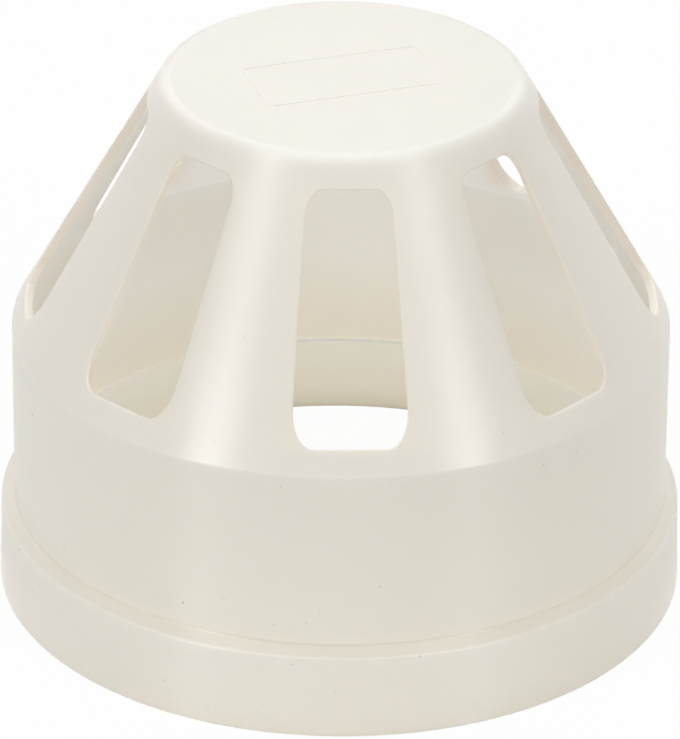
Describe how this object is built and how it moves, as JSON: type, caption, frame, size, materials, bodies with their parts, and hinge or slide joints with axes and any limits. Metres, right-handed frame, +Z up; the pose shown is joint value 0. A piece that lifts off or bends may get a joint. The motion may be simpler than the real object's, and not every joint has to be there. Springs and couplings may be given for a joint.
{
  "type": "vent pipe cap",
  "caption": "Slotted conical cap that slips over the top of a drain vent pipe: a short socket band, a straight wall, a slotted cone and a flat closed top.",
  "frame": {"origin": "centre of the open rim, in the plane that the cap stands on", "axes": "+Z up along the cap's axis, from the open rim to the closed top; -Y towards the middle of one slot; the slots repeat every 45 degrees"},
  "size_m": [0.114, 0.114, 0.091],
  "materials": {
    "rigid_pvc": "ivory rigid PVC with a soft sheen, as moulded"
  },
  "bodies": {
    "root": {"vent_cap": "rigid_pvc"}
  },
  "joints": []
}
